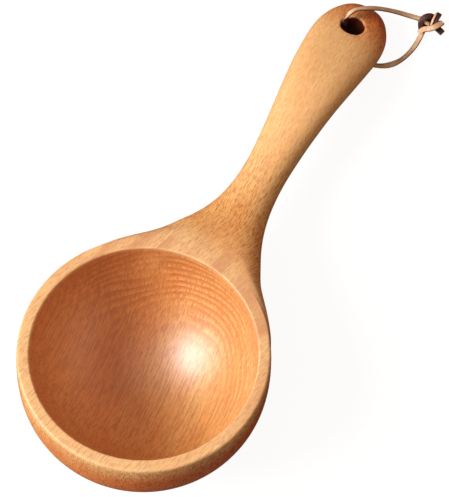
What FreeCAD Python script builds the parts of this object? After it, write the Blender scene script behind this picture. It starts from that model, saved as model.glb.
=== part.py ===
import FreeCAD, Part
import math
import os

V = FreeCAD.Vector

# A wooden ladle: a deep round bowl and a stout waved handle, carved from one piece of
# beech. A leather lace runs through the hole in the handle's end and is tied in a knot.
# Lengths are in millimetres and angles in degrees.
# The ladle is carved with its rim level and its handle along +X, and is then tipped
# until the bowl and the end of the handle rest on the table.

# Bowl
rim_inner_radius = 56.0
rim_width = 6.2
bowl_height = 68.0
belly_swell = 0.9
belly_depth = 20.0
floor_thickness = 8.5
rim_break = 0.6

# Handle seen from above, as half widths. The neck is measured from the bowl's outside,
# and the grip's widest place from the handle's end.
handle_length = 177.0
neck_distance = 54.0
neck_half_width = 11.6
grip_from_end = 27.0
grip_half_width = 20.6
tip_length = 34.0
tip_fullness = 2.26

# Flare of the handle round the bowl: angle from the handle, and distance outside the rim
flare = [(64.0, -1.2), (56.0, 0.8), (48.0, 2.4), (40.0, 3.8), (32.5, 5.6), (25.0, 8.8)]

# Wave of the handle's upper line seen from the side
root_lift = 1.2
dip_distance = 36.0
dip_depth = 4.2
crest_distance = 114.0
crest_height = 12.3
droop_distance = 200.0
droop = 12.0

# Thickness of the handle, and how square its sections are
root_thickness = 25.0
neck_thickness = 22.0
grip_thickness = 20.0
root_blend = 14.0
tip_round = 13.0
root_squareness = 4.4
grip_squareness = 2.35
section_points = 24

# Hanging hole
hole_from_end = 24.0
hole_diameter = 12.5
hole_edge_round = 1.2

# Leather lace, as it lies on the table: its route runs from the knot over the handle's
# end, down through the hole against its wall, and back under the handle to the knot
lace_diameter = 3.0
lace_route = [(158.9, -30.2, 5.4), (157.6, -23.8, 6.2), (154.6, -16.2, 10.4), (150.0, -10.0, 16.6),
              (145.4, -4.6, 22.2), (141.4, -0.6, 25.8), (137.6, 2.8, 28.4), (132.9, 4.6, 28.6),
              (130.3, 4.85, 23.4), (126.0, 4.85, 14.4), (123.2, 3.7, 8.2), (121.9, -0.6, 3.8),
              (121.9, -7.8, 1.8), (122.8, -15.2, 1.7), (125.3, -21.7, 1.7), (129.7, -26.6, 1.7),
              (135.4, -29.9, 1.7), (141.8, -31.6, 1.9), (148.4, -32.0, 2.6), (155.6, -32.0, 3.6)]
knot_middle = V(158.6, -32.6, 4.3)
knot_direction = V(0.5, -0.87, 0)
knot_radius = 4.2
knot_length = 8.6
tail_width = 3.2
tail_thickness = 1.8
tail_ends = [V(169.0, -36.4, 1.1), V(157.6, -43.6, 1.1)]

rim_outer_radius = rim_inner_radius + rim_width
tip_x = rim_outer_radius + handle_length
neck_x = rim_outer_radius + neck_distance
grip_x = tip_x - grip_from_end
wall_radius = bowl_height - belly_depth
wall_centre = rim_outer_radius + belly_swell - wall_radius


def ease(start, end, x):
    u = min(max((x - start) / (end - start), 0.0), 1.0)
    return u * u * (3.0 - 2.0 * u)


def through(points, x):
    """Height at x of a smooth curve through the points."""
    n = len(points)
    slopes = []
    for i in range(n):
        a = points[max(i - 1, 0)]
        b = points[min(i + 1, n - 1)]
        slopes.append((b[1] - a[1]) / (b[0] - a[0]))
    i = 0
    while i < n - 2 and x > points[i + 1][0]:
        i += 1
    x0, y0 = points[i]
    x1, y1 = points[i + 1]
    h = x1 - x0
    t = min(max((x - x0) / h, 0.0), 1.0)
    return (y0 * (2 * t ** 3 - 3 * t ** 2 + 1) + slopes[i] * h * (t ** 3 - 2 * t ** 2 + t)
            + y1 * (3 * t ** 2 - 2 * t ** 3) + slopes[i + 1] * h * (t ** 3 - t ** 2))


def rounded_end(t, fullness):
    t = min(max(t, 0.0), 1.0)
    return (1.0 - t ** fullness) ** (1.0 / fullness)


def plan_points():
    points = []
    for angle, outside in flare:
        r = rim_outer_radius + outside
        points.append((r * math.cos(math.radians(angle)), r * math.sin(math.radians(angle))))
    root_x, root_w = points[-1]
    # The flare dies away into the neck, and the neck swells into the grip
    for share, left in ((0.17, 0.745), (0.38, 0.43), (0.64, 0.165), (1.0, 0.0)):
        x = root_x + share * (neck_x - root_x)
        points.append((x, neck_half_width + left * (root_w - neck_half_width)))
    for share, grown in ((0.21, 0.08), (0.47, 0.40), (0.74, 0.79), (1.0, 1.0)):
        x = neck_x + share * (grip_x - neck_x)
        points.append((x, neck_half_width + grown * (grip_half_width - neck_half_width)))
    points.append((tip_x, grip_half_width))
    return points


plan = plan_points()


def half_width(x):
    end = rounded_end((x - (tip_x - tip_length)) / tip_length, tip_fullness)
    return through(plan, x) * end


def upper_line(x):
    d = x - rim_outer_radius
    lift = root_lift * (1.0 - ease(-6.0, 16.0, d))
    dip = dip_depth * ease(-2.0, dip_distance, d)
    rise = (dip_depth + crest_height) * ease(dip_distance, crest_distance, d)
    return lift - dip + rise - droop * ease(crest_distance, droop_distance, d)


def thickness(x):
    d = x - rim_outer_radius
    swell = (root_thickness - neck_thickness) * (1.0 - ease(0.0, neck_distance, d))
    taper = (neck_thickness - grip_thickness) * ease(neck_x, grip_x, x)
    # The underside runs down into the bowl in a quarter of a circle
    reach = min(max(root_blend - d, 0.0), 0.97 * root_blend)
    hollow = root_blend - math.sqrt(root_blend ** 2 - reach ** 2)
    return neck_thickness + swell - taper + hollow


def section(x):
    """Closed outline of the handle across its length at x."""
    w = half_width(x)
    h = thickness(x) / 2
    middle = upper_line(x) - h
    h *= rounded_end((x - (tip_x - tip_round)) / tip_round, 2.1)
    square = 1.0 - ease(-12.0, 33.0, x - rim_outer_radius)
    points = []
    for i in range(section_points):
        a = 2 * math.pi * i / section_points + math.pi / 2
        # Only the upper half of the section is squarer at the root
        squareness = grip_squareness
        if math.sin(a) > 0:
            squareness += (root_squareness - grip_squareness) * square
        across = math.copysign(abs(math.cos(a)) ** (2 / squareness), math.cos(a))
        up = math.copysign(abs(math.sin(a)) ** (2 / squareness), math.sin(a))
        points.append(V(x, w * across, middle + h * up))
    curve = Part.BSplineCurve()
    curve.interpolate(Points=points, PeriodicFlag=True)
    return Part.Wire([curve.toShape()])


def handle():
    first = plan[0][0]
    last = tip_x - tip_length
    places = [first + share * (rim_outer_radius - first) for share in (0, 0.37, 0.63, 0.8, 0.94)]
    places += [rim_outer_radius + share * (last - rim_outer_radius)
               for share in (0.02, 0.056, 0.098, 0.161, 0.252, 0.35, 0.476, 0.615, 0.755, 0.895, 1)]
    for angle in (20, 38, 52, 64, 74, 82, 87, 89):
        places.append(last + tip_length * math.sin(math.radians(angle)))
    return Part.makeLoft([section(x) for x in places], True, False, False)


def turned(edges):
    """Solid turned about the bowl's axis from the outline that the edges close."""
    face = Part.Face(Part.Wire([e.toShape() for e in edges]))
    return face.revolve(V(0, 0, 0), V(0, 0, 1), 360)


def bowl_outside():
    # The outline lies on the side away from the handle, so that its seam does too
    outline = [V(-rim_outer_radius, 0, 0)]
    for angle in (0, 18, 36, 54, 72, 90):
        r = wall_centre + wall_radius * math.cos(math.radians(angle))
        outline.append(V(-r, 0, -belly_depth - wall_radius * math.sin(math.radians(angle))))
    wall = Part.BSplineCurve()
    slope = 2 * belly_swell / belly_depth
    wall.interpolate(Points=outline, InitialTangent=V(-slope, 0, -1), FinalTangent=V(1, 0, 0))
    low = V(0, 0, -bowl_height)
    high = V(0, 0, 0)
    return turned([wall, Part.LineSegment(outline[-1], low), Part.LineSegment(low, high),
                   Part.LineSegment(high, outline[0])])


def carve_outside():
    body = bowl_outside().fuse(handle())
    # Round the bowl, what stands above the rim's plane comes off
    over = Part.makeCylinder(rim_outer_radius + dip_distance, bowl_height)
    return body.cut(over).removeSplitter()


def cavity():
    """Inside of the bowl: a straight wall below the rim, then the lower part of a ball."""
    above = 3.0
    depth = bowl_height - floor_thickness
    # A bowl shallower than half a ball has a ball that is wider than its mouth
    wall_depth = max(depth - rim_inner_radius, 2 * rim_break)
    ball_depth = depth - wall_depth
    ball_radius = (rim_inner_radius ** 2 + ball_depth ** 2) / (2 * ball_depth)
    half_turn = math.asin(min(rim_inner_radius / ball_radius, 1.0)) / 2
    axis_top = V(0, 0, above)
    mouth = V(rim_inner_radius + rim_break + above, 0, above)
    edge = V(rim_inner_radius, 0, -rim_break)
    wall = V(rim_inner_radius, 0, -wall_depth)
    middle = V(ball_radius * math.sin(half_turn), 0, ball_radius * (1 - math.cos(half_turn)) - depth)
    floor = V(0, 0, -depth)
    outline = [Part.LineSegment(axis_top, mouth), Part.LineSegment(mouth, edge),
               Part.LineSegment(edge, wall), Part.Arc(wall, middle, floor),
               Part.LineSegment(floor, axis_top)]
    return turned(outline)


def hole_axis():
    """Middle of the hole, and its direction, square to the handle's upper line."""
    x = tip_x - hole_from_end
    slope = (upper_line(x + 1) - upper_line(x - 1)) / 2
    up = V(-slope, 0, 1)
    up.normalize()
    return V(x, 0, upper_line(x) - thickness(x) / 2), up


def is_bore(face):
    return face.Surface.TypeId == "Part::GeomCylinder" and face.Surface.Radius < hole_diameter


def is_line(edge):
    ends = edge.Vertexes
    return len(ends) == 2 and abs(ends[0].Point.distanceToPoint(ends[1].Point) - edge.Length) < 0.01


def drill(body):
    middle, up = hole_axis()
    reach = grip_thickness
    drilled = body.cut(Part.makeCylinder(hole_diameter / 2, 2 * reach, middle - up * reach, up))
    mouths = []
    for face in drilled.Faces:
        if is_bore(face):
            mouths += [e for e in face.Edges if e.Length > hole_diameter and not is_line(e)]
    return drilled.makeFillet(hole_edge_round, mouths)


def resting_tilt(body):
    """Angle by which the handle's end drops until it and the bowl both touch the table."""
    points = body.tessellate(0.05)[0]
    bowl = [p for p in points if p.x < rim_outer_radius and p.z < -belly_depth]
    end = [p for p in points if p.x > neck_x]

    def lowest(places, angle):
        return min(p.z * math.cos(angle) - p.x * math.sin(angle) for p in places)

    level = 0.0
    steep = math.radians(45)
    for _ in range(30):
        middle = (level + steep) / 2
        if lowest(end, middle) > lowest(bowl, middle):
            level = middle
        else:
            steep = middle
    return math.degrees(middle)


ladle = drill(carve_outside().cut(cavity()))
tilt = resting_tilt(ladle)
ladle.rotate(V(0, 0, 0), V(0, 1, 0), tilt)
box = ladle.optimalBoundingBox(False, False)
ladle.translate(V(-(box.XMin + box.XMax) / 2, 0, -box.ZMin))
print("ladle", ladle.isValid(), len(ladle.Solids), round(ladle.Volume), len(ladle.Faces))
print("tilt", round(tilt, 3), "box", [round(v, 2) for v in (box.XMin, box.XMax, box.YMin, box.YMax,
                                                           box.ZMin, box.ZMax)])


def rounded_path(points):
    """Straight runs between the points, joined by arcs as large as the runs allow."""
    edges = []
    start = points[0]
    radii = []
    for before, corner, after in zip(points, points[1:], points[2:]):
        to_before = before - corner
        to_after = after - corner
        cut = 0.45 * min(to_before.Length, to_after.Length)
        to_before.normalize()
        to_after.normalize()
        half_turn = (math.pi - to_before.getAngle(to_after)) / 2
        radius = cut / math.tan(half_turn)
        radii.append(round(radius, 1))
        enter = corner + to_before * cut
        leave = corner + to_after * cut
        inward = to_before + to_after
        inward.normalize()
        middle = corner + inward * (radius / math.cos(half_turn) - radius)
        edges.append(Part.LineSegment(start, enter).toShape())
        edges.append(Part.Arc(enter, middle, leave).toShape())
        start = leave
    edges.append(Part.LineSegment(start, points[-1]).toShape())
    return Part.Wire(edges), radii


def lace_loop():
    points = [V(*p) for p in lace_route]
    path, radii = rounded_path(points)
    ring = Part.Wire([Part.makeCircle(lace_diameter / 2, points[0], points[1] - points[0])])
    tube = path.makePipeShell([ring], True, False)
    print("lace", round(path.Length, 1), "volume share",
          round(tube.Volume / (path.Length * math.pi * lace_diameter ** 2 / 4), 4), "radii", radii)
    return tube


def tail(end):
    """Flat end of the lace from the knot's middle to the place given."""
    run = end - V(knot_middle.x, knot_middle.y, end.z)
    strip = Part.makeBox(run.Length, tail_width, tail_thickness, V(0, -tail_width / 2, -tail_thickness / 2))
    strip.rotate(V(0, 0, 0), V(0, 0, 1), math.degrees(math.atan2(run.y, run.x)))
    strip.translate(V(knot_middle.x, knot_middle.y, end.z))
    return strip


def lace_knot(tube):
    wrap = 0.36 * knot_radius
    core = Part.makeCylinder(knot_radius - wrap / 2, knot_length, knot_middle - knot_direction * knot_length / 2,
                             knot_direction)
    core = core.makeFillet(0.45 * knot_radius, [e for e in core.Edges if len(e.Vertexes) == 1])
    turn = Part.makeTorus(knot_radius - wrap, wrap, knot_middle, knot_direction)
    knot = core.fuse(turn)
    for end in tail_ends:
        knot = knot.fuse(tail(end))
    return knot.cut(tube)


lace = lace_loop().cut(ladle)
knot = lace_knot(lace)
print("knot", knot.isValid(), len(knot.Solids), round(knot.Volume, 1), round(knot.BoundBox.ZMin, 3))

os.makedirs("parts", exist_ok=True)
ladle.exportStep("parts/ladle.step")
lace.exportStep("parts/lace_loop.step")
knot.exportStep("parts/lace_knot.step")
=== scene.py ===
# %% [markdown]
# # A turned and carved beech ladle
# The object is a deep round bowl and a waved handle cut from one piece of beech, with a
# leather lace tied through the hole in its end. It lies on a table, on the bowl's rounded
# bottom and the tip of the handle. The CAD frame gives the place and the size of every
# part, and each piece below is modelled over it. Sizes are written in millimetres, and
# `MM` turns them into metres.

# %% Load the frame
import math

import bmesh
import bpy
from mathutils import Matrix, Vector


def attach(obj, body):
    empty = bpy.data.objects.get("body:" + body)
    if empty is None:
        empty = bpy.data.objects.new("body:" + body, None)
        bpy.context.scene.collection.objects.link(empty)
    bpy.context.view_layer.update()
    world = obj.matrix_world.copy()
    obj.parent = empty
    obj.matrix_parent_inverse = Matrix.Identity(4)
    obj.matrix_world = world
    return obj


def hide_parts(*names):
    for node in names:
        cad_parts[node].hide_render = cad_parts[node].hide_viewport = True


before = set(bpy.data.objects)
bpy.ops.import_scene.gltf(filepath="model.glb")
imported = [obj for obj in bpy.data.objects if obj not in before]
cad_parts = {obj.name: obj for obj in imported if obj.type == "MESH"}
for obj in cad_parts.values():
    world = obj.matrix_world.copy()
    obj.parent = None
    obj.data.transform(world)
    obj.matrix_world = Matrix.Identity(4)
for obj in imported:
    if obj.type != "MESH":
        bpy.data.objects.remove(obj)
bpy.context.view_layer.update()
scene = bpy.context.scene
scene.view_settings.view_transform = "Standard"
MM = 0.001

# %% [markdown]
# ## The camera
# The photograph looks down into the bowl from about 75 degrees, a little turned, with the
# handle running away to the upper right. A long lens at nearly a metre gives the weak
# perspective of a product photograph. The camera is set by its place and its three
# directions, because those can be worked out from the rim's ellipse and the handle.

# %% Camera
PHOTO_HEIGHT = 497
FOCAL_PIXELS = 1700.0
CAMERA_PLACE = Vector((-164.58, -170.01, 881.57))
camera_data = bpy.data.cameras.new("camera")
camera_data.sensor_width = 36.0
camera_data.lens = camera_data.sensor_width * FOCAL_PIXELS / PHOTO_HEIGHT
camera = bpy.data.objects.new("camera", camera_data)
scene.collection.objects.link(camera)
across = Vector((0.49123, -0.86705, -0.08316)).normalized()
back = Vector((-0.17468, -0.1916, 0.9658)).normalized()
upward = back.cross(across).normalized()
across = upward.cross(back)
turn = Matrix((across, upward, back)).transposed().to_4x4()
camera.matrix_world = Matrix.Translation(CAMERA_PLACE * MM) @ turn
scene.camera = camera
print("lens", round(camera_data.lens, 2))

# %% [markdown]
# ## Helpers for meshes
# A bmesh becomes an object that sits at the origin and rides on the one body of this part.
# Its normals are worked out again first, so that every face points outwards.

# %% Mesh helpers
def piece_from(bm, name, material):
    bmesh.ops.recalc_face_normals(bm, faces=bm.faces)
    mesh = bpy.data.meshes.new(name)
    bm.to_mesh(mesh)
    bm.free()
    for face in mesh.polygons:
        face.use_smooth = True
    mesh.materials.append(material)
    piece = bpy.data.objects.new(name, mesh)
    scene.collection.objects.link(piece)
    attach(piece, "root")
    return piece


def subdivide(piece, levels):
    smoothing = piece.modifiers.new("subdivision", "SUBSURF")
    smoothing.levels = levels
    smoothing.render_levels = levels


def ease(start, end, x):
    """0 up to the start, 1 from the end on, and a smooth rise between them."""
    u = min(max((x - start) / (end - start), 0.0), 1.0)
    return u * u * (3.0 - 2.0 * u)


# %% [markdown]
# ## Helpers for materials
# A shader is easier to read as arithmetic than as a list of links. `Socket` wraps the
# output of a node, and adding or multiplying two of them adds the Math node that does it.
# Every node comes from one method, `node`, which sets its settings first and then its
# sockets. Colours are mixed with `blend`, because a Math node would turn them grey.

# %% Socket arithmetic
class Socket:
    """One output of a node."""

    def __init__(self, shop, socket):
        self.shop = shop
        self.socket = socket

    def other(self, name):
        """Another output of the same node."""
        return Socket(self.shop, self.socket.node.outputs[name])

    def math(self, operation, other=0.0):
        return self.shop.node("ShaderNodeMath", {"operation": operation}, {0: self, 1: other})

    def __add__(self, other):
        return self.math("ADD", other)

    def __mul__(self, other):
        return self.math("MULTIPLY", other)

    def __sub__(self, other):
        return self.math("SUBTRACT", other)

    def __rsub__(self, other):
        return self.shop.node("ShaderNodeMath", {"operation": "SUBTRACT"}, {0: other, 1: self})

    def __truediv__(self, other):
        return self.math("DIVIDE", other)

    def __pow__(self, other):
        return self.math("POWER", other)

    __radd__ = __add__
    __rmul__ = __mul__

    def ramp(self, low, high, low_value=0.0, high_value=1.0):
        """Smooth step from one value to the other while this one goes from low to high."""
        return self.shop.node("ShaderNodeMapRange", {"interpolation_type": "SMOOTHSTEP"},
                              {"Value": self, "From Min": low, "From Max": high,
                               "To Min": low_value, "To Max": high_value})


# %% Materials and their nodes
class Shop:
    """One material and the nodes in it."""

    def __init__(self, name):
        self.material = bpy.data.materials.new(name)
        self.material.use_nodes = True
        self.tree = self.material.node_tree
        self.shader = self.tree.nodes["Principled BSDF"]
        self.count = 0

    def put(self, socket, value):
        if isinstance(value, Socket):
            self.tree.links.new(value.socket, socket)
        else:
            socket.default_value = value

    def node(self, kind, settings=None, values=None, output=0):
        made = self.tree.nodes.new(kind)
        self.count += 1
        for name, value in (settings or {}).items():
            setattr(made, name, value)
        for key, value in (values or {}).items():
            self.put(made.inputs[key], value)
        return Socket(self, made.outputs[output])

    def place(self, turn=(0, 0, 0), scale=(1, 1, 1), shift=(0, 0, 0)):
        """Object coordinates in metres, turned and stretched."""
        here = self.node("ShaderNodeTexCoord", output="Object")
        return self.stretch(here, turn, scale, shift)

    def stretch(self, vector, turn=(0, 0, 0), scale=(1, 1, 1), shift=(0, 0, 0)):
        return self.node("ShaderNodeMapping", {"vector_type": "POINT"},
                         {"Vector": vector, "Rotation": [math.radians(a) for a in turn],
                          "Scale": scale, "Location": shift})

    def grid(self, vector, size, shift=(0, 0, 0)):
        """The vector measured in steps of the size, so that a texture's marks get that size."""
        return self.stretch(vector, scale=[1 / step for step in size], shift=shift)

    def noise(self, vector, detail, roughness=0.5, scale=1.0):
        return self.node("ShaderNodeTexNoise", None,
                         {"Vector": vector, "Scale": scale, "Detail": detail,
                          "Roughness": roughness})

    def cells(self, vector):
        """Distance to the middle of the nearest cell."""
        return self.node("ShaderNodeTexVoronoi", {"feature": "F1"},
                         {"Vector": vector, "Scale": 1.0})

    def blend(self, share, first, second, kind="MIX"):
        return self.node("ShaderNodeMix", {"data_type": "RGBA", "blend_type": kind},
                         {"Factor": share, "A": first, "B": second}, output="Result")

    def bump(self, height, distance, strength):
        return self.node("ShaderNodeBump", None,
                         {"Height": height, "Distance": distance, "Strength": strength})

    def finish(self, constants, varying):
        for name, value in {**constants, **varying}.items():
            self.put(self.shader.inputs[name], value)
        print("material", self.material.name, self.count, "nodes")
        return self.material


def linear(red, green, blue):
    """Colour as the shader wants it, from the 0 to 255 values of a colour on the screen."""
    parts = []
    for value in (red, green, blue):
        share = value / 255
        parts.append(share / 12.92 if share <= 0.04045 else ((share + 0.055) / 1.055) ** 2.4)
    return (*parts, 1.0)


# %% [markdown]
# ## Leather
# The lace is a flat thong cut from tan hide: the skin side is smooth with a fine grain and
# is paler where it bends, the flesh side and the cut edges are dark. It could be painted
# from a picture, but noise in Object coordinates needs no unwrapping and has no seams. So
# a broad noise mixes a light and a dark tan, a finer one gives the grain its bump, and an
# attribute on the mesh says which side is flesh.

# %% Leather material
TAN, PALE_TAN = linear(240, 188, 144), linear(255, 226, 190)
FLESH, HIDE_GRAIN = linear(66, 28, 24), linear(130, 82, 54)


def leather():
    shop = Shop("lace_leather")
    here = shop.place()
    patches = shop.noise(here, 3.0, 0.6, scale=260.0)
    grain = shop.noise(here, 3.0, 0.6, scale=2600.0)
    skin = shop.blend(patches.ramp(0.35, 0.68), TAN, PALE_TAN)
    flesh = shop.node("ShaderNodeAttribute", {"attribute_name": "flesh"}, output="Fac")
    colour = shop.blend(flesh, skin, FLESH)
    colour = shop.blend(grain.ramp(0.35, 0.6) * 0.15, colour, HIDE_GRAIN)
    return shop.finish({"Specular IOR Level": 0.45},
                       {"Base Color": colour,
                        "Roughness": patches.ramp(0.3, 0.7, 0.42, 0.6),
                        "Normal": shop.bump(grain, 0.0002, 0.5)})


lace_leather = leather()

# %% [markdown]
# ## The lace
# The thong is 3.2 mm wide. It comes out of the knot, lies over the handle's end, goes down
# through the hole against its wall, and runs back to the knot under the handle and over
# the table. A curve with a bevel would give a strap too, but it decides by itself how the
# strap twists. So the curve only gives a smooth line, near the route in the CAD source,
# and the strap is built on its points, ring by ring, with its skin side turned to where
# it looks in the photograph.

# %% Lace route
LACE_WIDTH = 3.2 * MM
LACE_THICKNESS = 1.3 * MM
lace_route = [(158.0, -28.6, 5.4), (156.4, -22.2, 6.2), (153.6, -15.2, 10.4),
              (149.6, -9.4, 16.6), (145.4, -4.6, 22.2), (141.4, -0.6, 25.8),
              (137.6, 2.8, 28.4), (132.9, 4.6, 28.6), (130.3, 4.85, 23.4),
              (126.0, 4.85, 14.4), (123.2, 3.7, 8.2), (121.9, -0.6, 3.8),
              (121.9, -7.8, 1.8), (122.8, -15.2, 1.7), (125.3, -21.7, 1.7),
              (129.4, -26.2, 1.7), (134.6, -29.2, 1.7), (141.1, -31.0, 1.9),
              (147.8, -31.6, 2.6), (154.8, -31.0, 3.6)]


def smooth_line(route, name):
    """Points along the smooth curve that has the route's points as its control points."""
    curve = bpy.data.curves.new(name, "CURVE")
    curve.dimensions = "3D"
    spline = curve.splines.new("NURBS")
    spline.points.add(len(route) - 1)
    for control, place in zip(spline.points, route):
        control.co = (*(v * MM for v in place), 1.0)
    spline.order_u = 3
    spline.use_endpoint_u = True
    spline.resolution_u = 10
    holder = bpy.data.objects.new(name, curve)
    line = bpy.data.meshes.new_from_object(holder)
    points = [v.co.copy() for v in line.vertices]
    bpy.data.objects.remove(holder)
    bpy.data.curves.remove(curve)
    bpy.data.meshes.remove(line)
    return points


lace_path = smooth_line(lace_route, "lace_line")
lace_length = sum((b - a).length for a, b in zip(lace_path, lace_path[1:]))
print("lace", len(lace_path), "points", round(lace_length * 1000, 1), "mm")


# %% Strap along a line
EDGE_FLESH = 0.7    # a cut edge is nearly as dark as the flesh side


def strap(bm, path, lean, width, thickness):
    """Flat strap along a path. lean(share of the way) is where its skin side looks."""
    flesh = bm.verts.layers.float.get("flesh") or bm.verts.layers.float.new("flesh")
    half, deep = width / 2, thickness / 2
    outline = [(-half, -0.45 * deep), (-0.86 * half, -deep), (0.86 * half, -deep),
               (half, -0.45 * deep), (half, 0.45 * deep), (0.86 * half, deep),
               (-0.86 * half, deep), (-half, 0.45 * deep)]
    rings = []
    for i, here in enumerate(path):
        before = path[max(i - 1, 0)]
        after = path[min(i + 1, len(path) - 1)]
        along = (after - before).normalized()
        look = lean(i / (len(path) - 1))
        look = (look - along * look.dot(along)).normalized()
        side = along.cross(look)
        ring = []
        for x, y in outline:
            vert = bm.verts.new(here + side * x + look * y)
            vert[flesh] = 0.0 if y == deep else EDGE_FLESH if y > 0 else 1.0
            ring.append(vert)
        rings.append(ring)
    edges = []
    for ring in rings:
        edges.append([bm.edges.new((a, b)) for a, b in zip(ring, ring[1:] + ring[:1])])
    for one, two in zip(edges, edges[1:]):
        bmesh.ops.bridge_loops(bm, edges=one + two)
    for ring in (rings[0], rings[-1]):
        bm.faces.new(ring)


# %% The lace as a strap
def between(stops):
    """Direction that turns smoothly through the stops: a share of the way and a direction."""
    def lean(share):
        for (a, first), (b, second) in zip(stops, stops[1:]):
            if share <= b:
                return Vector(first).lerp(Vector(second), ease(a, b, share)).normalized()
        return Vector(stops[-1][1])
    return lean


lace_lean = between([(0.0, (0.3, 0.2, 0.95)), (0.2, (0.1, 0.3, 0.95)),
                     (0.33, (0.3, 0.5, 0.8)), (0.45, (0.9, 0.3, 0.3)),
                     (0.55, (0.5, 0.0, -0.85)), (0.63, (-0.3, 0.1, -0.95)),
                     (0.72, (-0.9, 0.3, 0.3)), (0.85, (-0.5, 0.6, 0.6)),
                     (1.0, (-0.2, 0.4, 0.9))])
bm = bmesh.new()
strap(bm, lace_path, lace_lean, LACE_WIDTH, LACE_THICKNESS)
lace = piece_from(bm, "lace", lace_leather)
subdivide(lace, 1)
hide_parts("lace_loop")
print("lace", len(lace.data.polygons), "faces")

# %% [markdown]
# ## The knot
# Both ends of the thong are tied in one overhand knot. One end makes an arch that shows its
# dark flesh side, and the other passes over it with its skin side up. The loop's upper run
# goes in below the arch, and two short tails come out. A simulation could pull a thong
# tight, but its result can't be steered. So each strand is a strap like the lace, on a
# smooth route of its own, where the photograph shows it. The tails lie with the flesh side
# up. One side of the first tail has rolled over, and a narrow strip of skin shows there.

# %% Knot
SKIN_UP, FLESH_UP = Vector((0.1, 0.05, 1.0)), Vector((0.1, 0.05, -1.0))
knot_strands = [
    (FLESH_UP, LACE_WIDTH * 1.5,
     [(154.7, -29.3, 2.0), (157.7, -29.3, 2.6), (160.5, -31.2, 3.0), (161.1, -34.3, 2.4)]),
    (FLESH_UP, LACE_WIDTH,
     [(153.1, -30.2, 3.0), (154.8, -28.5, 4.6), (157.0, -28.0, 6.4), (159.4, -29.1, 7.4),
      (161.3, -31.2, 7.0), (161.8, -33.5, 5.4), (160.4, -35.5, 4.0), (158.8, -36.7, 2.4)]),
    (SKIN_UP, LACE_WIDTH * 1.1,
     [(150.8, -30.2, 2.9), (152.3, -30.5, 4.2), (153.4, -32.1, 5.8), (154.3, -34.3, 7.0),
      (155.9, -36.2, 7.4), (158.6, -37.5, 6.6), (161.8, -38.4, 4.6)]),
    (SKIN_UP, LACE_WIDTH * 0.7,
     [(157.1, -24.6, 5.3), (157.3, -27.6, 5.0), (157.4, -30.3, 4.4), (157.6, -32.7, 3.6)]),
    (FLESH_UP, LACE_WIDTH,
     [(157.2, -34.2, 3.0), (158.9, -34.6, 6.2), (161.8, -34.9, 7.4), (165.1, -34.8, 6.0)]),
    (SKIN_UP, LACE_WIDTH * 0.4,
     [(156.8, -33.9, 4.2), (158.4, -33.8, 7.0), (161.0, -33.6, 8.3), (163.6, -33.5, 7.2)]),
    (FLESH_UP, LACE_WIDTH * 1.1,
     [(158.5, -35.6, 2.4), (158.1, -38.3, 2.0), (157.2, -41.1, 1.5)]),
]
bm = bmesh.new()
for look, width, route in knot_strands:
    line = smooth_line(route, "knot_line")
    strap(bm, line, lambda share: look, width, LACE_THICKNESS)
knot = piece_from(bm, "knot", lace_leather)
subdivide(knot, 1)
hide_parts("lace_knot")
print("knot", len(knot_strands), "strands,", len(knot.data.polygons), "faces")

# %% [markdown]
# ## The bowl's profile
# A bowl is turned on a lathe, so half of its cross section is drawn once and spun about
# the axis. Half a sphere with a thickness would be quicker, but the real rim is flat and
# the wall below it is nearly upright, and a drawn profile holds both. The ladle is
# modelled as it is carved, with its rim level and its handle along +X, and tipped onto the
# table at the very end. The profile runs from the middle of the hollow up to the rim, over
# it and down the outside.

# %% Sizes of the bowl
RIM_INNER, RIM_OUTER = 56.0, 62.2
BOWL_HEIGHT, FLOOR = 68.0, 8.5
BELLY_SWELL, BELLY_DEPTH = 0.9, 20.0
WALL_RADIUS = BOWL_HEIGHT - BELLY_DEPTH
WALL_CENTRE = RIM_OUTER + BELLY_SWELL - WALL_RADIUS
HOLLOW_DEPTH = BOWL_HEIGHT - FLOOR
# The hollow ends in half a ball, whose middle is this far below the rim
BALL_DEPTH = HOLLOW_DEPTH - RIM_INNER
SPOKES = 72
# The handle grows out of this many spokes, and out of the wall between these heights
FLARE_SPOKES = 22
HALF_FLARE = FLARE_SPOKES // 2
WALL_HEIGHTS = (-1.5, -6.5, -13.0, -19.5, -26.0)
LAST_ROW = len(WALL_HEIGHTS) - 1
print("bowl", 2 * RIM_INNER, "mm wide inside,", BOWL_HEIGHT, "mm high")


# %% Profile
def outside_radius(z):
    """Radius of the bowl's outer wall at a height below the rim."""
    if z > -BELLY_DEPTH:
        return RIM_OUTER + BELLY_SWELL * (1 - (1 + z / BELLY_DEPTH) ** 2)
    drop = min(-BELLY_DEPTH - z, WALL_RADIUS)
    return WALL_CENTRE + math.sqrt(WALL_RADIUS ** 2 - drop ** 2)


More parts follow.
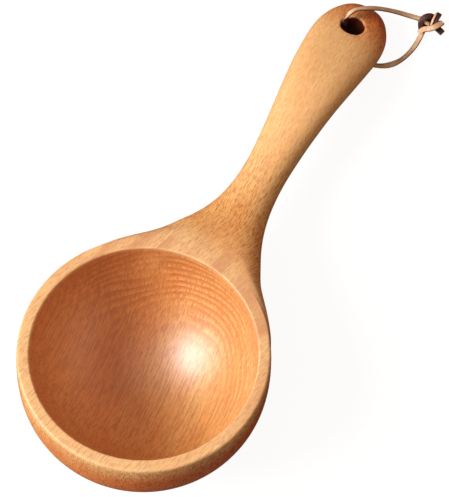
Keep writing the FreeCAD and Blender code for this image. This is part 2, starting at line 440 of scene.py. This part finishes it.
def bowl_profile():
    """Points of the profile, and the index of the first one that the handle grows from."""
    points = [(0.0, -HOLLOW_DEPTH)]
    for angle in (0.8, 4, 9, 14, 20, 26, 32, 38, 44, 50, 56, 62, 68, 74, 80, 85, 90):
        a = math.radians(angle)
        points.append((RIM_INNER * math.sin(a), -BALL_DEPTH - RIM_INNER * math.cos(a)))
    points += [(RIM_INNER + out, z) for out, z in
               ((0.0, -1.3), (0.0, -0.75), (0.25, -0.28), (0.75, 0.0), (1.4, 0.0), (3.1, 0.0))]
    points += [(RIM_OUTER - inwards, z) for inwards, z in
               ((1.5, 0.0), (0.75, -0.08), (0.12, -0.62))]
    start = len(points)
    points += [(outside_radius(z), z) for z in WALL_HEIGHTS]
    for angle in (14, 22, 30, 38, 46, 54, 62, 70, 77, 83, 88):
        a = math.radians(angle)
        points.append((WALL_CENTRE + WALL_RADIUS * math.cos(a),
                       -BELLY_DEPTH - WALL_RADIUS * math.sin(a)))
    points += [(WALL_CENTRE - 1.0, -BOWL_HEIGHT), (0.6 * WALL_CENTRE, -BOWL_HEIGHT),
               (0.2 * WALL_CENTRE, -BOWL_HEIGHT), (0.0, -BOWL_HEIGHT)]
    return points, start


profile, wall_start = bowl_profile()
print("profile", len(profile), "points, flare rows start at", wall_start)

# %% [markdown]
# ## The handle's shape
# Seen from above the handle flares out of the rim, narrows to a neck and swells to a grip
# with a round end. Seen from the side it dips, rises and droops, and its sections go from
# nearly square shoulders at the bowl to an oval at the grip. Points could be pushed about
# by hand until this looks right, but as formulas the outlines are the same as in the CAD
# source, and each ring of the handle can ask for its width and height at its own place.

# %% Sizes of the handle
HANDLE_LENGTH, TIP_LENGTH, TIP_ROUND = 177.0, 34.0, 13.0
NECK_DISTANCE, NECK_HALF, GRIP_FROM_END, GRIP_HALF = 54.0, 11.6, 27.0, 20.6
TIP_X = RIM_OUTER + HANDLE_LENGTH
NECK_X = RIM_OUTER + NECK_DISTANCE
GRIP_X = TIP_X - GRIP_FROM_END
# Angle round the bowl and distance outside the rim of the flare's points
FLARE = [(64.0, -1.2), (56.0, 0.8), (48.0, 2.4), (40.0, 3.8), (32.5, 5.6), (25.0, 8.8)]
# The upper line dips, rises above the rim and droops, between these distances from the rim
DIP, RISE, DROOP = 4.2, 12.3, 12.0
DIP_FROM, DIP_END, CREST, DROOP_END = -2.0, 36.0, 114.0, 200.0
# Thickness at the neck, what the root has more and what the grip has less
NECK_DEPTH, ROOT_SWELL, GRIP_THINNING = 22.0, 3.0, 2.0
# 2 rounds an end off as an ellipse does, and more than 2 makes it blunter
PLAN_FULLNESS, SIDE_FULLNESS = 2.26, 2.1
print("neck, grip and tip at", [round(x, 1) for x in (NECK_X, GRIP_X, TIP_X)])


# %% Outline seen from above
def plan_points():
    """Points of the outline: distance from the bowl's middle and half of the width."""
    points = []
    for angle, outside in FLARE:
        r = RIM_OUTER + outside
        points.append((r * math.cos(math.radians(angle)), r * math.sin(math.radians(angle))))
    root_x, root_w = points[-1]
    for share, left in ((0.17, 0.745), (0.38, 0.43), (0.64, 0.165), (1.0, 0.0)):
        points.append((root_x + share * (NECK_X - root_x),
                       NECK_HALF + left * (root_w - NECK_HALF)))
    for share, grown in ((0.21, 0.08), (0.47, 0.40), (0.74, 0.79), (1.0, 1.0)):
        points.append((NECK_X + share * (GRIP_X - NECK_X),
                       NECK_HALF + grown * (GRIP_HALF - NECK_HALF)))
    points.append((TIP_X, GRIP_HALF))
    return points


def through(points, x):
    """Height at x of a smooth curve through the points."""
    n = len(points)
    slopes = [(points[min(i + 1, n - 1)][1] - points[max(i - 1, 0)][1])
              / (points[min(i + 1, n - 1)][0] - points[max(i - 1, 0)][0]) for i in range(n)]
    i = 0
    while i < n - 2 and x > points[i + 1][0]:
        i += 1
    x0, y0 = points[i]
    x1, y1 = points[i + 1]
    h = x1 - x0
    t = min(max((x - x0) / h, 0.0), 1.0)
    return (y0 * (2 * t ** 3 - 3 * t ** 2 + 1) + slopes[i] * h * (t ** 3 - 2 * t ** 2 + t)
            + y1 * (3 * t ** 2 - 2 * t ** 3) + slopes[i + 1] * h * (t ** 3 - t ** 2))


def rounded_end(x, length, fullness):
    """1 up to where the rounding of the handle's end starts, and 0 at the tip."""
    t = min(max((x - (TIP_X - length)) / length, 0.0), 1.0)
    return (1.0 - t ** fullness) ** (1.0 / fullness)


plan = plan_points()


def half_width(x):
    return through(plan, x) * rounded_end(x, TIP_LENGTH, PLAN_FULLNESS)


print("half width at neck and grip", [round(half_width(x), 2) for x in (NECK_X, GRIP_X)])


# %% Outline seen from the side
def upper_line(x):
    d = x - RIM_OUTER
    rise = (DIP + RISE) * ease(DIP_END, CREST, d)
    return rise - DIP * ease(DIP_FROM, DIP_END, d) - DROOP * ease(CREST, DROOP_END, d)


def thickness(x):
    swell = ROOT_SWELL * (1.0 - ease(0.0, NECK_DISTANCE, x - RIM_OUTER))
    return NECK_DEPTH + swell - GRIP_THINNING * ease(NECK_X, GRIP_X, x)


def middle_line(x):
    return upper_line(x) - thickness(x) / 2


def half_depth(x):
    return thickness(x) / 2 * rounded_end(x, TIP_ROUND, SIDE_FULLNESS)


print("upper line at neck, grip and tip",
      [round(upper_line(x), 1) for x in (NECK_X, GRIP_X, TIP_X)])


# %% [markdown]
# ## Carving the ladle
# Bowl and handle are one block of wood, and the surface flows from the rim into the neck
# without an edge. Two bodies joined by a Boolean would leave a seam there. So the bowl is
# spun, and the handle is drawn out of it: the faces of the wall that look along +X are
# extruded again and again, and each new ring of points is laid on the handle's section
# there. One skin then covers the whole ladle, and Subdivision Surface makes it as soft as
# sanded wood.

# %% Rings of the handle
SIDE_ANGLE = math.radians(20)
FLARE_ANGLE = math.pi * FLARE_SPOKES / SPOKES
# Power of the oval section, and what is added to it on top by the bowl and on its wall
OVAL, SQUARER, ON_WALL_SQUARER = 2.35, 2.05, 5.0
WIDEST = 0.97


def signed_power(value, power):
    return math.copysign(abs(value) ** power, value)


def ring_place(ring, t, row):
    """Place on a ring of the handle. t runs across from -1 to 1, row from the top down."""
    x_side, x_middle, leaving = ring
    # The first rings leave the bowl's wall and straighten out towards the neck
    wall = FLARE_ANGLE * t
    x_end = x_middle + (x_side - x_middle) * t * t
    x = RIM_OUTER * math.cos(wall) * (1 - leaving) + x_end * leaving
    w, h, middle = half_width(x), half_depth(x), middle_line(x)
    if 0 < row < LAST_ROW:
        angle = SIDE_ANGLE * (1.0 - 2.0 * row / LAST_ROW)
        up = signed_power(math.sin(angle), 2 / OVAL)
        return Vector((x, w * math.cos(angle) ** (2 / OVAL) * t, middle + h * up))
    # Points across the top and the underside are spread by the angle they stand at
    spread = signed_power(math.sin((math.pi / 2 - SIDE_ANGLE) * t), 2 / OVAL)
    on_wall = RIM_OUTER * math.sin(wall) / half_width(RIM_OUTER * math.cos(wall))
    wide = min(max(on_wall, -WIDEST), WIDEST) * (1 - leaving) + spread * leaving
    square = OVAL
    if row == 0:
        square += (SQUARER * (1.0 - ease(-12.0, 33.0, x - RIM_OUTER))
                   + ON_WALL_SQUARER * (1.0 - ease(0.0, 0.5, leaving)))
    up = (1.0 - abs(wide) ** square) ** (1 / square)
    return Vector((x, w * wide, middle + h * up * (1 if row == 0 else -1)))


# %% Places of the rings
# A ring crosses the handle's sides at its first x and its middle at the second. The last
# number is the share of the way from the bowl's wall.
NECK_RING = (80.0, 90.0)
HOLE_X = TIP_X - 24.0
stations = [(*NECK_RING, leaving) for leaving in (0.07, 0.16, 0.27, 0.39, 0.52, 0.66, 0.82, 1.0)]
stations += [(89.5, 97.5, 1.0), (99.5, 105.0, 1.0), (110.0, 113.5, 1.0)]
straight = [122.0, 132.0, 142.0, 152.0, 162.0, 172.0, 182.0, 191.0, 199.5]
straight += [HOLE_X + d for d in (-10.4, -7.8, -5.2, -2.6, 0.0, 2.6, 5.2, 7.8, 10.4)]
straight += [TIP_X - TIP_LENGTH * (1 - math.sin(math.radians(a))) for a in (50, 62, 72, 80, 85)]
stations += [(x, x, 1.0) for x in straight]
print("handle rings", len(stations))


# %% Spin the bowl and mark where the handle grows
def spun_bowl():
    bm = bmesh.new()
    chain = [bm.verts.new((-r, 0.0, z)) for r, z in profile]
    line = [bm.edges.new(pair) for pair in zip(chain, chain[1:])]
    bmesh.ops.spin(bm, geom=chain + line, cent=(0, 0, 0), axis=(0, 0, 1),
                   angle=2 * math.pi, steps=SPOKES, use_merge=True)
    bmesh.ops.remove_doubles(bm, verts=bm.verts, dist=0.001)
    bmesh.ops.recalc_face_normals(bm, faces=bm.faces)
    return bm


def mark_flare(bm):
    """Marks the wall's points that the handle grows from with their place across and down."""
    across_mark = bm.verts.layers.int.new("across")
    down_mark = bm.verts.layers.int.new("down")
    for vert in bm.verts:
        vert[across_mark] = vert[down_mark] = -1
    for row, (r, z) in enumerate(profile[wall_start:wall_start + len(WALL_HEIGHTS)]):
        for step in range(-HALF_FLARE, HALF_FLARE + 1):
            a = 2 * math.pi * step / SPOKES
            place = Vector((r * math.cos(a), r * math.sin(a), z))
            vert = min(bm.verts, key=lambda v: (v.co - place).length_squared)
            vert[across_mark] = step + HALF_FLARE
            vert[down_mark] = row
    return across_mark, down_mark


bm = spun_bowl()
across_mark, down_mark = mark_flare(bm)
marked = {v for v in bm.verts if v[across_mark] >= 0}
patch = [f for f in bm.faces if all(v in marked for v in f.verts)]
print("bowl", len(bm.faces), "faces, handle grows from", len(patch), "of them")


# %% Root of the handle on the wall
# The handle's shoulders start at this share of the flare and reach this far down
SHOULDER_FROM, SHOULDER_LOW = 0.86, -18.0
BELOW_SKIN = 3.0
FLAT_ABOVE = -1.0


def seat_root():
    """Lifts the marked points of the wall to where the handle's skin meets it."""
    for vert in marked:
        t = (vert[across_mark] - HALF_FLARE) / HALF_FLARE
        a = FLARE_ANGLE * t
        x = RIM_OUTER * math.cos(a)
        w = max(half_width(x), 1.0)
        wide = min(abs(RIM_OUTER * math.sin(a)) / w, WIDEST)
        h = thickness(x) / 2
        shoulder = ease(SHOULDER_FROM, 1.0, abs(t))
        top = WALL_HEIGHTS[0] * shoulder
        under = upper_line(x) - h - h * (1.0 - wide ** OVAL) ** (1 / OVAL) - BELOW_SKIN
        under = max(under, WALL_HEIGHTS[-1])
        under = under * (1 - shoulder) + max(under, SHOULDER_LOW) * shoulder
        z = top + (under - top) * vert[down_mark] / LAST_ROW
        r = outside_radius(z) if z < FLAT_ABOVE else RIM_OUTER
        vert.co = Vector((r * math.cos(a), r * math.sin(a), z))


def flatten_rim_edge():
    """Lays the rim's rounded edge flat where the handle leaves it."""
    for vert in bm.verts:
        r = math.hypot(vert.co.x, vert.co.y)
        if vert not in marked and -1.4 < vert.co.z < -0.01 and r > RIM_OUTER - 1.2:
            t = abs(math.atan2(vert.co.y, vert.co.x)) / FLARE_ANGLE
            vert.co.z *= ease(SHOULDER_FROM, 1.0, t)


seat_root()
flatten_rim_edge()
heights = [v.co.z for v in marked]
print("root on the wall from", round(max(heights), 2), "to", round(min(heights), 2))


# %% Draw out the handle
def draw_out_handle():
    """Extrudes the patch from ring to ring, and gives back the faces that close the end."""
    faces = list(patch)
    for ring in stations:
        made = bmesh.ops.extrude_face_region(bm, geom=faces)
        bmesh.ops.delete(bm, geom=[f for f in faces if f.is_valid], context="FACES")
        faces = [g for g in made["geom"] if isinstance(g, bmesh.types.BMFace)]
        for vert in {v for f in faces for v in f.verts}:
            t = (vert[across_mark] - HALF_FLARE) / HALF_FLARE
            row = vert[down_mark]
            if 0 < row < LAST_ROW and abs(t) < 1:
                top = ring_place(ring, t, 0)
                under = ring_place(ring, t, LAST_ROW)
                vert.co = top.lerp(under, row / LAST_ROW)
            else:
                vert.co = ring_place(ring, t, row)
    return faces


cap = draw_out_handle()
print("with the handle", len(bm.faces), "faces")


# %% [markdown]
# ## The end of the handle
# The handle ends in a soft round tip. Drawing the skin together in one point would pinch
# it. So the last ring is left small, and the faces that close it are pushed out into a
# low dome.

# %% Dome of the tip
def dome_tip(faces):
    end_x = stations[-1][0]
    w, h, middle = half_width(end_x), half_depth(end_x), middle_line(end_x)
    for vert in {v for f in faces for v in f.verts}:
        out = (abs(vert.co.y) / w) ** 2 + (abs(vert.co.z - middle) / h) ** 2
        vert.co.x += (TIP_X - end_x) * math.sqrt(max(1.0 - out, 0.0))


dome_tip(cap)
print("tip at", round(max(v.co.x for v in bm.verts), 2))


# %% [markdown]
# ## The hanging hole
# The ladle hangs by a drilled hole, and its edge is sanded round. A Boolean would cut the
# hole in one step, but leaves slivers that spoil the smoothing. So a block of faces is
# taken out above and below, the edges that are left are laid on a circle, and rings of new
# edges lead round the mouth and down into the bore. The two bores are then bridged.

# %% Drill the hole
HOLE_RADIUS = 6.25
BLOCK_LONG, BLOCK_WIDE = 8.2, 8.0
# How much wider than the bore each ring of the mouth is, and how far it sinks further
MOUTH_RINGS = ((1.5, 0.0), (0.7, 0.25), (0.15, 0.9), (0.0, 1.2))
hole_slope = (upper_line(HOLE_X + 1) - upper_line(HOLE_X - 1)) / 2
hole_up = Vector((-hole_slope, 0, 1)).normalized()
hole_middle = Vector((HOLE_X, 0, middle_line(HOLE_X)))
hole_along = Vector((0, 1, 0)).cross(hole_up).normalized()


def in_block(face, side):
    """Whether a face of the skin lies over the hole on the given side."""
    offset = face.calc_center_median() - hole_middle
    return (abs(offset.dot(hole_along)) < BLOCK_LONG and abs(offset.y) < BLOCK_WIDE
            and face.normal.dot(hole_up) * side > 0.5 and offset.dot(hole_up) * side > 0)


def mouth(side):
    """Opens the skin round the hole on one side, and gives back the bore's loop of edges."""
    block = [face for face in bm.faces if in_block(face, side)]
    bmesh.ops.delete(bm, geom=block, context="FACES")
    loop = [e for e in bm.edges if e.is_boundary
            and (e.verts[0].co - hole_middle).dot(hole_up) * side > 0]
    for wider, sink in MOUTH_RINGS:
        if sink > 0:
            made = bmesh.ops.extrude_edge_only(bm, edges=loop)
            loop = [g for g in made["geom"] if isinstance(g, bmesh.types.BMEdge)
                    and all(v in made["geom"] for v in g.verts) and g.is_boundary]
        for vert in {v for e in loop for v in e.verts}:
            offset = vert.co - hole_middle
            height = offset.dot(hole_up) - side * sink
            flat = Vector((offset.dot(hole_along), offset.y))
            flat = flat.normalized() * (HOLE_RADIUS + wider)
            vert.co = (hole_middle + hole_along * flat.x + Vector((0, flat.y, 0))
                       + hole_up * height)
    return loop


top_loop = mouth(1)
under_loop = mouth(-1)
bmesh.ops.bridge_loops(bm, edges=top_loop + under_loop)
print("hole", len(top_loop), len(under_loop), "open edges left",
      sum(e.is_boundary for e in bm.edges))

# %% [markdown]
# ## Onto the table
# The ladle tips until its handle's end and its bowl touch the table, and goes from
# millimetres to metres.

# %% Tip the ladle
TILT = 14.082
RIM_MIDDLE = Vector((-81.49, 0, 71.42))
tip_over = (Matrix.Translation(RIM_MIDDLE * MM)
            @ Matrix.Rotation(math.radians(TILT), 4, "Y") @ Matrix.Scale(MM, 4))
bmesh.ops.transform(bm, matrix=tip_over, verts=bm.verts)
print("lowest point", round(min(v.co.z for v in bm.verts) / MM, 2), "mm")

# %% [markdown]
# ## Beech
# The ladle is cut from one block whose fibres lie nearly along the handle, and it has
# darkened with oil and use. Shade and light are painted on it too: it is painted darker in
# the hollow, the bore, the root, the outer wall and the end, and paler on the rim, the grip
# and the lit side of the hollow. A picture of wood wrapped round it would stretch over the
# bowl, while the real figure runs right through the block. So every texture starts from
# the place in the wood: Object coordinates turned back to the level rim, in millimetres
# along the grain, across it and up. Growth layers are shells round a pith far below, rays
# are short ribbons that stand across them, and streaks and fibres are long thin noise.

# %% Place in the wood
GRAIN_TURN = 13.0
HOLLOW_TURN, HANDLE_TURN = -20, -15
grain = Matrix.Rotation(math.radians(GRAIN_TURN), 3, "Z")


def wood_place(shop):
    """Place in the wood, from the rim's middle: along the grain, across it and up."""
    rim_middle = grain @ Matrix.Rotation(math.radians(-TILT), 3, "Y") @ RIM_MIDDLE
    return shop.place(turn=(0, -TILT, GRAIN_TURN), scale=(1 / MM,) * 3, shift=-rim_middle)


def turned(shop, wood, angle, centre=(0, 0, 0)):
    """The place turned about the upright line through the centre."""
    return shop.node("ShaderNodeVectorRotate", {"rotation_type": "Z_AXIS"},
                     {"Vector": wood, "Center": centre, "Angle": angle})


def hollow_mask(along, side, up):
    """1 on the wood of the hollow and 0 outside it."""
    below = up + BALL_DEPTH
    from_middle = (along * along + side * side + below * below) ** 0.5
    return (1.0 - from_middle.ramp(RIM_INNER, RIM_INNER + 0.8)) * (1.0 - up.ramp(-1.2, -0.5))


def bore_mask(shop, wood):
    """1 inside the hanging hole and 0 outside it, from the distance to the hole's axis."""
    from_middle = shop.node("ShaderNodeVectorMath", {"operation": "SUBTRACT"},
                            {0: wood, 1: grain @ hole_middle})
    off_axis = shop.node("ShaderNodeVectorMath", {"operation": "CROSS_PRODUCT"},
                         {0: from_middle, 1: grain @ hole_up})
    far = shop.node("ShaderNodeVectorMath", {"operation": "LENGTH"}, {0: off_axis},
                    output="Value")
    return 1.0 - far.ramp(HOLE_RADIUS + 0.1, HOLE_RADIUS + 0.7)


# %% Growth layers
LAYER = 4.2
PITH_ASIDE, PITH_BELOW = 12.0, 150.0


def growth_layers(shop, fibre, along, side, up):
    """How much late wood shows. The layers are bent by a slow wave and unevenly wide."""
    wave = shop.noise(shop.grid(fibre, (120, 40, 40)), 1.0)
    aside, below = side + PITH_ASIDE, up + PITH_BELOW
    from_pith = (aside * aside + below * below) ** 0.5
    depth = (from_pith + wave * 14.0) / LAYER
    uneven = shop.noise(shop.grid(fibre, (400, 60, 14)), 2.0)
    in_layer = (depth + uneven * 1.7).math("FRACT")
    late = in_layer.ramp(0.1, 0.86) * (1.0 - in_layer.ramp(0.9, 1.0))
    clear = shop.noise(shop.grid(fibre, (50, 30, 30), (3, 1, 2)), 1.0)
    # They show best where the cut runs across the grain, on the handle's side of the hollow
    strength = (clear.ramp(0.35, 0.55, 0.3, 1.0) * along.ramp(-10.0, 40.0, 0.2, 1.0)
                * up.ramp(-56.0, -30.0))
    return late * strength * (1.0 - along.ramp(56.0, 74.0) * 0.8)


# %% Tints by use and by place
def wear_and_painted_light(shop, colour, hollow, along, side, up):
    """The wood's colour with its wear, and with shade and light painted on the hollow, rim,
    root, outer wall and handle.
    """
    # The hollow is darker, partly from oil and partly painted shade, and it is painted paler
    # towards the side the lamp lights: painted light
    hollow_lit_side = (along * 0.68 - side * 0.73).ramp(-24.0, 40.0)
    hollow_oil_and_shade = shop.blend(hollow_lit_side, linear(226, 196, 170), linear(252, 246, 226))
    colour = shop.blend(hollow, colour, hollow_oil_and_shade, "MULTIPLY")
    # The rim and the top just outside it are paler: sanded, and a painted sheen on the lit top
    from_axis = (along * along + side * side) ** 0.5
    rim = (1.0 - from_axis.ramp(RIM_OUTER - 1, RIM_OUTER + 26)) * up.ramp(-4.5, -0.6)
    colour = shop.blend(rim * 0.36, colour, linear(255, 216, 168))
    # The handle's root is painted redder and darker: painted shade
    root = along.ramp(60.0, 72.0) * (1.0 - along.ramp(88.0, 106.0))
    colour = shop.blend(root * 0.5, colour, linear(255, 226, 196), "MULTIPLY")
    # The outer wall below the rim is painted darker and redder, most on the side away from the
    # lamp: painted shade
    low_wall = (1.0 - hollow) * (1.0 - up.ramp(-16.0, -1.0)) * (1.0 - along.ramp(60.0, 90.0))
    shaded = 1.0 - side.ramp(-60.0, 30.0)
    colour = shop.blend(low_wall * (shaded * 0.6 + 0.4), colour,
                        linear(232, 162, 112), "MULTIPLY")
    # The grip is painted paler: painted light
    grip = along.ramp(90.0, 150.0) * (1.0 - along.ramp(196.0, 226.0))
    colour = shop.blend(grip * 0.5, colour, linear(255, 206, 146))
    # The end of the handle is darker, partly from hands and partly painted shade
    held_and_shaded = along.ramp(196.0, 232.0) * 0.85
    return shop.blend(held_and_shaded, colour, linear(220, 136, 78), "MULTIPLY")


# %% Beech material
def beech():
    shop = Shop("oiled_beech")
    wood = wood_place(shop)
    along = shop.node("ShaderNodeSeparateXYZ", None, {"Vector": wood})
    side, up = along.other("Y"), along.other("Z")
    hollow = hollow_mask(along, side, up)
    # The fibres do not run straight: they look steeper in the hollow and along the handle
    fibre = turned(shop, wood, hollow * math.radians(HOLLOW_TURN))
    fibre = turned(shop, fibre, along.ramp(70.0, 92.0) * math.radians(HANDLE_TURN),
                   grain @ Vector((80, 0, 0)))
    late_wood = growth_layers(shop, fibre, along, side, up)

    # Broad and fine streaks along the grain
    broad = shop.noise(shop.grid(fibre, (150, 16, 22)), 2.0)
    streaks = shop.noise(shop.grid(fibre, (38, 0.9, 3.5)), 3.0, 0.6)
    rays = shop.noise(shop.grid(fibre, (5, 0.9, 45), (2, 9, 4)), 2.0, 0.6)
    fibres = shop.noise(shop.grid(fibre, (9, 0.32, 0.5)), 2.0, 0.6)
    # Where the cut is flat, single rays show as short dashes, and the smallest as specks
    cells = shop.cells(shop.grid(fibre, (4.4, 0.55, 3)))
    chance = shop.node("ShaderNodeSeparateColor", None, {"Color": cells.other("Color")})
    dashes = (0.56 - cells - chance * 0.2).ramp(0.0, 0.24)
    specks = (0.34 - shop.cells(shop.grid(fibre, (2.4, 0.5, 6), (7, 3, 5)))).ramp(0.0, 0.14)

    colour = shop.blend(broad.ramp(0.3, 0.7), linear(255, 206, 136), linear(254, 182, 104))
    for share, tint in ((late_wood, (206, 98, 32)),
                        (rays.ramp(0.48, 0.74) * 0.55, (204, 116, 54)),
                        (streaks.ramp(0.44, 0.64) * (0.45 + hollow * 0.35), (202, 120, 56)),
                        (fibres.ramp(0.35, 0.65) * 0.4, (255, 214, 156)),
                        (specks * 0.35, (186, 106, 50)),
                        (dashes * (0.8 - hollow * 0.42), (196, 112, 50))):
        colour = shop.blend(share, colour, linear(*tint))
    colour = wear_and_painted_light(shop, colour, hollow, along, side, up)
    # The drilled bore is painted nearly black: painted shade inside the hole
    colour = shop.blend(bore_mask(shop, wood), colour, linear(76, 34, 16), "MULTIPLY")

    pores = fibres * 0.5 - dashes * 0.6 - specks * 0.25
    return shop.finish({"Specular IOR Level": 0.32, "Coat Roughness": 0.43, "Coat IOR": 2.15},
                       {"Base Color": colour,
                        "Roughness": streaks * 0.1 + 0.38 + dashes * 0.1,
                        "Coat Weight": broad.ramp(0.2, 0.8, 0.04, 0.1) + hollow * 0.88,
                        "Normal": shop.bump(pores, 0.00006, 0.6)})


# %% The ladle in beech
ladle = piece_from(bm, "ladle_body", beech())
subdivide(ladle, 2)
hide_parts("ladle")
print("ladle", len(ladle.data.polygons), "faces before it is smoothed")

# %% [markdown]
# ## Table and light
# The photograph is cut out on white. A white floor would throw light up at the ladle, and
# would still look grey away from the lamp. So the floor is dull, and adds light of its own
# that only the camera sees, which keeps a soft shadow. The key lamp stands to the left, as
# in the photograph, and a warm world fills in the rest.

# %% Floor
FLOOR_SIZE = 3.0
FLOOR_GLOW = 0.93


def floor_material():
    shop = Shop("white_floor")
    shop.put(shop.shader.inputs["Base Color"], (0.15, 0.125, 0.105, 1))
    shop.put(shop.shader.inputs["Roughness"], 0.9)
    lit = Socket(shop, shop.shader.outputs[0])
    glow = shop.node("ShaderNodeEmission", None, {"Color": (1, 1, 1, 1), "Strength": FLOOR_GLOW})
    both = shop.node("ShaderNodeAddShader", None, {0: lit, 1: glow})
    seen = shop.node("ShaderNodeLightPath", output="Is Camera Ray")
    mixed = shop.node("ShaderNodeMixShader", None, {0: seen, 1: lit, 2: both})
    shop.put(shop.tree.nodes["Material Output"].inputs["Surface"], mixed)
    return shop.material


bm = bmesh.new()
bmesh.ops.create_grid(bm, x_segments=8, y_segments=8, size=FLOOR_SIZE)
floor_mesh = bpy.data.meshes.new("floor")
bm.to_mesh(floor_mesh)
bm.free()
floor_mesh.materials.append(floor_material())
floor = bpy.data.objects.new("floor", floor_mesh)
scene.collection.objects.link(floor)
print("floor", 2 * FLOOR_SIZE, "m wide")


# %% Lamps and world
bowl_place = Vector((-0.081, 0.0, 0.05))
KEY_DIRECTION, KEY_DISTANCE = Vector((-0.425, 0.565, 0.706)), 2.2
WORLD_COLOUR, WORLD_STRENGTH = (1.0, 0.70, 0.48, 1), 0.29


def lamp(name, place, size, power, colour):
    """Round lamp that looks at the bowl."""
    data = bpy.data.lights.new(name, "AREA")
    data.shape = "DISK"
    data.size = size
    data.energy = power
    data.color = colour
    holder = bpy.data.objects.new(name, data)
    holder.location = place
    holder.rotation_euler = (bowl_place - place).to_track_quat("-Z", "Y").to_euler()
    scene.collection.objects.link(holder)


lamp("key", bowl_place + KEY_DIRECTION * KEY_DISTANCE, 1.2, 61.0, (1.0, 0.99, 0.98))
lamp("top", bowl_place + Vector((0.1, -0.1, 1.5)), 1.4, 1.5, (1.0, 0.96, 0.9))
world = bpy.data.worlds.new("studio")
scene.world = world
world.use_nodes = True
background = world.node_tree.nodes["Background"]
background.inputs["Color"].default_value = WORLD_COLOUR
background.inputs["Strength"].default_value = WORLD_STRENGTH
